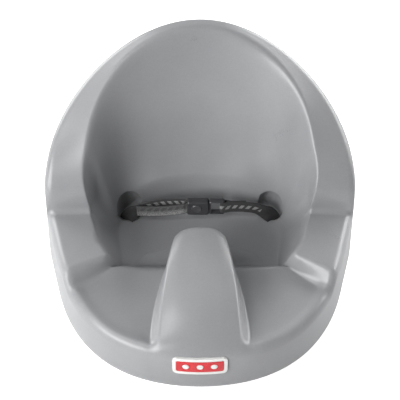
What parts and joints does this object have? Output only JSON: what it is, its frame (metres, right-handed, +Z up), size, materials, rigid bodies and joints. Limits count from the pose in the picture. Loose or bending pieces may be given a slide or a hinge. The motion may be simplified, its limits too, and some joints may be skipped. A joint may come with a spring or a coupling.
{
  "type": "baby floor seat",
  "caption": "Moulded foam floor seat with a raised round back, flat armrests, a central pommel between leg channels, and a low lap belt with a push-button buckle.",
  "frame": {"origin": "centre of the bounding box at floor level, under the middle of the seat", "axes": "+Z up from the floor, -Y towards the front wall and the badge, +X across the seat to the side where the latch strap comes out"},
  "size_m": [0.398, 0.3854, 0.274],
  "materials": {
    "foam_skin": "satin self-skinned foam",
    "webbing": "woven",
    "buckle_plastic": "fine textured",
    "spring_steel": "drawn wire",
    "retainer_plastic": "plain moulded",
    "badge_white": "gloss",
    "badge_red": "gloss"
  },
  "bodies": {
    "seat": {"foam_body": "foam_skin", "strap_left": "webbing", "strap_right": "webbing", "buckle_front_shell": "buckle_plastic", "buckle_back_shell": "buckle_plastic", "button_spring": "spring_steel", "retainer_left": "retainer_plastic", "retainer_right": "retainer_plastic", "badge_plate": "badge_white", "badge_panel": "badge_red"},
    "button": {"release_button": "buckle_plastic"},
    "latch": {"buckle_latch": "buckle_plastic"}
  },
  "joints": [
    {"name": "button_press", "type": "slide", "parent": "seat", "child": "button", "axis": [0, 1, 0], "range_m": [0, 0.0022], "stiffness_N_per_m": 600, "deforming": ["button_spring"]},
    {"name": "latch_release", "type": "slide", "parent": "seat", "child": "latch", "axis": [1, 0, 0], "range_m": [0, 0.022], "deforming": ["strap_right"]}
  ]
}
